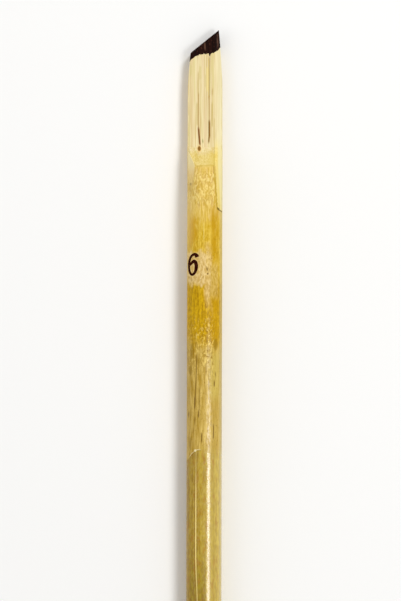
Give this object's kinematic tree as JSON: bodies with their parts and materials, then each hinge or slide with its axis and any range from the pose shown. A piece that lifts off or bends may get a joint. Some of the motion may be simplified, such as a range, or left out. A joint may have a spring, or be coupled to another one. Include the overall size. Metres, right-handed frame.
{
  "type": "calligraphy reed pen",
  "caption": "Reed pen for broad-edge calligraphy: a carved cane stick with a long scarf, an oblique slit nib and dried ink on its tip.",
  "frame": {"origin": "middle of the pen's length and width, on the surface that it lies on", "axes": "+Y from the butt to the writing tip, +Z out of the scarf's face, +X to the right with the tip pointing away"},
  "size_m": [0.006, 0.2001, 0.006],
  "materials": {
    "glossy_rind": "natural cane rind, olive tan and glossy",
    "scraped_rind": "scraped cane rind, golden tan, satin, slightly rough",
    "wall": "freshly cut cane with fine straight fibres, matt",
    "lining": "thin brown inner layer, matt",
    "pith": "soft pale core, matt",
    "ink": "dried brown-black ink, satin"
  },
  "bodies": {
    "root": {"glossy_rind": "glossy_rind", "scraped_rind": "scraped_rind", "cane_wall": "wall", "inner_lining": "lining", "pith_core": "pith", "dried_ink": "ink"}
  },
  "joints": []
}
